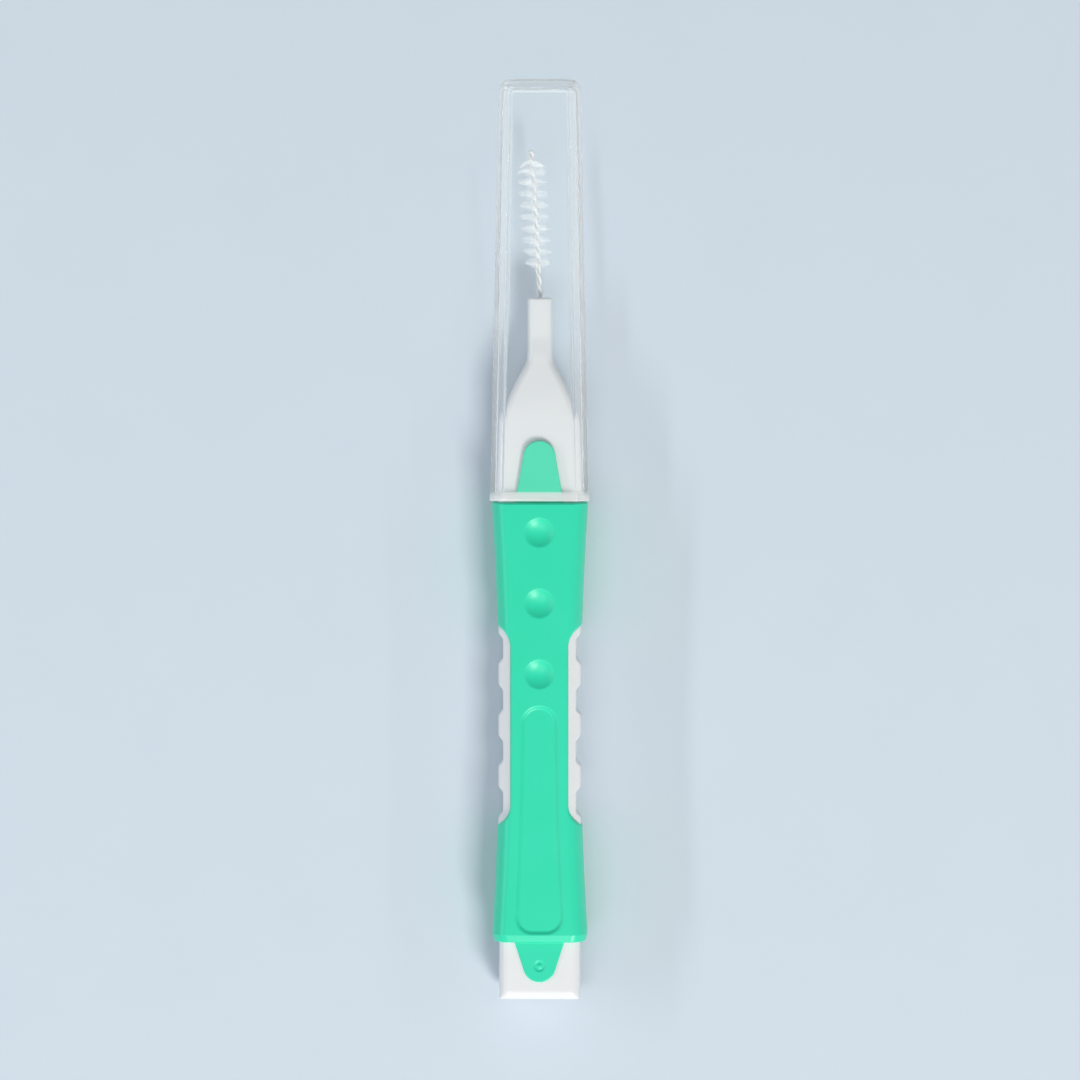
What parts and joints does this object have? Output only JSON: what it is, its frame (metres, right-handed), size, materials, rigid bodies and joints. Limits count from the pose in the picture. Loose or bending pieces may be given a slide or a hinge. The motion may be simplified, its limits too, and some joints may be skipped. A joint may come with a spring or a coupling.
{
  "type": "interdental brush",
  "caption": "Slim interdental brush with a soft waisted grip over a ribbed core, a twisted coated wire with a bristled head, and a push-on travel cap.",
  "frame": {"origin": "middle of the bounding box on the surface that the brush lies on", "axes": "+Y along the brush towards the bristles and the cap's closed end, +Z out of the front face with the dimples, +X to the right seen from the front"},
  "size_m": [0.011, 0.1014, 0.0071],
  "materials": {
    "core_plastic": "moulded white polypropylene, semi-gloss",
    "grip_rubber": "satin mint-green thermoplastic rubber",
    "wire_steel": "drawn stainless wire",
    "wire_coat": "thin white polymer coat",
    "bristle_nylon": "clear-white nylon filament",
    "cap_plastic": "lightly frosted clear polypropylene"
  },
  "bodies": {
    "handle": {"handle_core": "core_plastic", "grip_sleeve": "grip_rubber", "stem_wire": "wire_steel", "wire_coating": "wire_coat", "bristles": "bristle_nylon"},
    "cap": {"travel_cap": "cap_plastic"}
  },
  "joints": [
    {"name": "cap_slide", "type": "slide", "parent": "handle", "child": "cap", "axis": [0, 1, 0], "range_m": [0, 0.045]}
  ]
}
